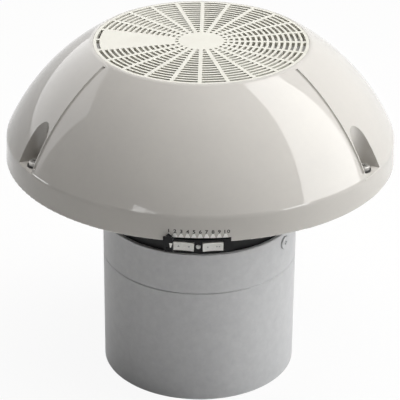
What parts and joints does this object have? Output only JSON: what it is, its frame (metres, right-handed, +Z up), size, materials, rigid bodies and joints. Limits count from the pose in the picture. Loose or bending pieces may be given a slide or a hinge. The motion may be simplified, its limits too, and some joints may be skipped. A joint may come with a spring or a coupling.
{
  "type": "caravan roof vent",
  "caption": "Powered mushroom roof vent: domed slotted cap over a fan housing with rocker switches and a turning shutter, on a telescoping round duct for a caravan roof.",
  "frame": {"origin": "centre of the duct's open foot, on its axis", "axes": "+Z up along the duct towards the cap, -Y towards the notch and switches at the front, +X to the right seen from the front"},
  "size_m": [0.2499, 0.2516, 0.2265],
  "materials": {
    "tube_grey": "fine satin grain",
    "cap_white": "satin gloss",
    "grille_cream": "satin",
    "housing_black": "satin",
    "shutter_black": "satin",
    "shutter_grey": "satin",
    "screen_grey": "satin",
    "shield_grey": "satin",
    "impeller_grey": "satin",
    "rocker_white": "gloss",
    "lamp_lens": "clear",
    "screw_steel": "zinc plated",
    "motor_steel": "zinc plated",
    "rotor_iron": "laminated",
    "magnet_ferrite": "dull",
    "bush_bronze": "sintered",
    "washer_rubber": "matt",
    "lead_red": "matt",
    "lead_black": "matt"
  },
  "bodies": {
    "duct": {"lower_duct": "tube_grey"},
    "head": {"upper_collar": "tube_grey", "collar_screws": "screw_steel", "fan_housing": "housing_black", "cap_arms": "housing_black", "dome_cover": "cap_white", "cap_screws": "screw_steel", "cap_washers": "washer_rubber", "top_grille": "grille_cream", "fly_screen": "screen_grey", "screen_ring": "housing_black", "shutter_seat": "shutter_grey", "motor_bracket": "housing_black", "motor_case": "motor_steel", "motor_end_cap": "housing_black", "lower_bush": "bush_bronze", "upper_bush": "bush_bronze", "motor_magnets": "magnet_ferrite", "control_panel": "housing_black", "switch_bodies": "housing_black", "pilot_lamp": "lamp_lens", "rain_shield": "shield_grey", "shield_screws": "screw_steel", "bracket_screws": "screw_steel", "motor_screws": "screw_steel", "terminal_block": "grille_cream", "terminal_screws": "bush_bronze", "motor_tags": "bush_bronze", "positive_lead": "lead_red", "negative_lead": "lead_black", "cable_grommet": "washer_rubber"},
    "fan": {"impeller": "impeller_grey", "impeller_clip": "screw_steel", "motor_shaft": "screw_steel", "motor_rotor": "rotor_iron"},
    "shutter": {"shutter": "shutter_black", "regulator_knob": "housing_black"},
    "direction_rocker": {"direction_rocker": "rocker_white"},
    "speed_rocker": {"speed_rocker": "rocker_white"}
  },
  "joints": [
    {"name": "head_slide", "type": "slide", "parent": "duct", "child": "head", "axis": [0, 0, 1], "range_m": [0, 0.012]},
    {"name": "fan_spin", "type": "hinge", "parent": "head", "child": "fan", "pos_m": [0, 0, 0.155], "axis": [0, 0, 1], "continuous": true},
    {"name": "shutter_turn", "type": "hinge", "parent": "head", "child": "shutter", "pos_m": [0, 0, 0.1423], "axis": [0, 0, 1], "range_deg": [0, 15.5]},
    {"name": "direction_rock", "type": "hinge", "parent": "head", "child": "direction_rocker", "pos_m": [-0.00899, -0.06018, 0.1125], "axis": [0, 0, 1], "range_deg": [-8, 8]},
    {"name": "speed_rock", "type": "hinge", "parent": "head", "child": "speed_rocker", "pos_m": [0.00899, -0.06018, 0.1125], "axis": [0, 0, 1], "range_deg": [-8, 8]}
  ]
}
